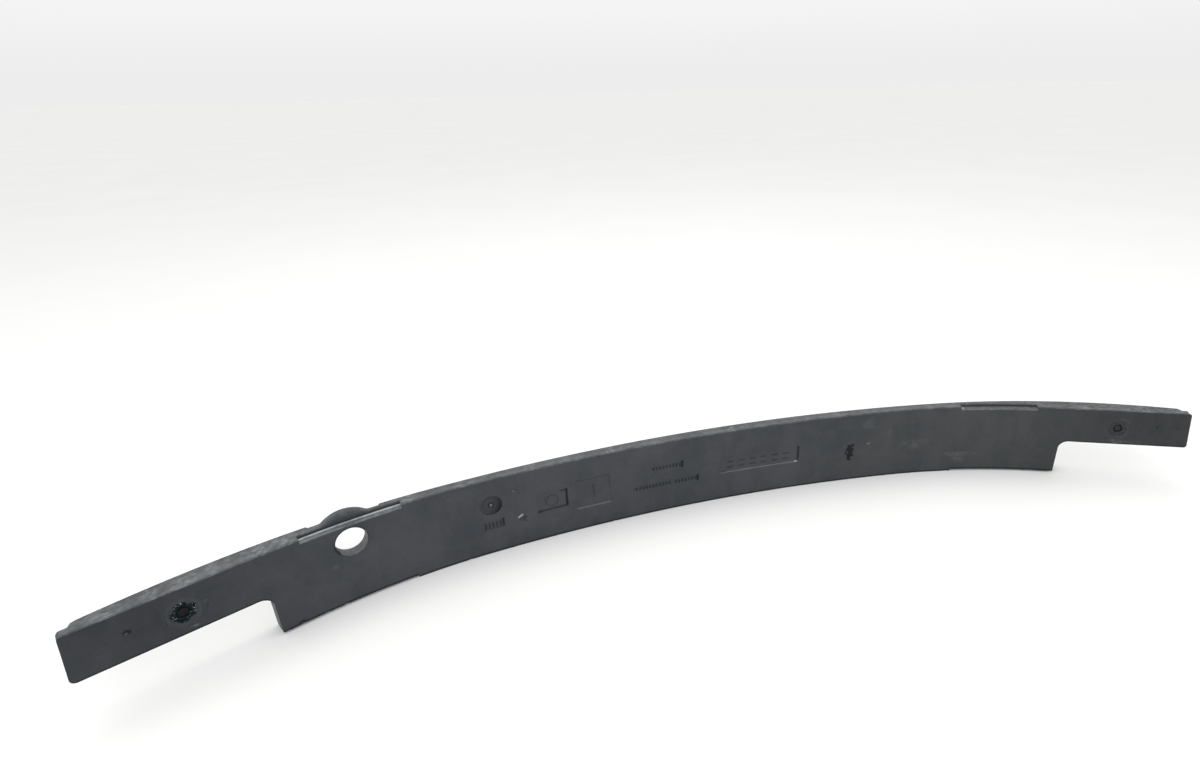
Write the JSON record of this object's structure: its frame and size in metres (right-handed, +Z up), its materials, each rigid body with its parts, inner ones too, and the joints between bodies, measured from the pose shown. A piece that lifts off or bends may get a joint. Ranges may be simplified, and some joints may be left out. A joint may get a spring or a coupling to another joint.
{
  "type": "bumper energy absorber",
  "caption": "Bowed moulded-foam energy absorber bar for a car's front bumper, with notched arms, a tow-eye passage, and a push-in retaining clip with a sliding spreader pin in each arm.",
  "frame": {"origin": "on the bar's centre plane, on the bottom edge it stands on, at the middle of the wall's thickness", "axes": "+X along the bar, +Y square out of the convex side towards the bumper cover, +Z up; the concave side faces the bumper beam at -Y"},
  "size_m": [1.2718, 0.1768, 0.109],
  "materials": {
    "moulded_foam": "matte dark charcoal moulding skin with faint mottling and pale rub marks",
    "clip_plastic": "glossy black, ragged at the mouth",
    "pin_plastic": "satin black"
  },
  "bodies": {
    "bar": {"absorber_bar": "moulded_foam", "clip_body_left": "clip_plastic", "clip_body_right": "clip_plastic"},
    "pin_left": {"clip_pin_left": "pin_plastic"},
    "pin_right": {"clip_pin_right": "pin_plastic"}
  },
  "joints": [
    {"name": "clip_pin_left_pull", "type": "slide", "parent": "bar", "child": "pin_left", "axis": [0.4419, -0.8971, 0], "range_m": [0, 0.006]},
    {"name": "clip_pin_right_pull", "type": "slide", "parent": "bar", "child": "pin_right", "axis": [-0.4419, -0.8971, 0], "range_m": [0, 0.006]}
  ]
}
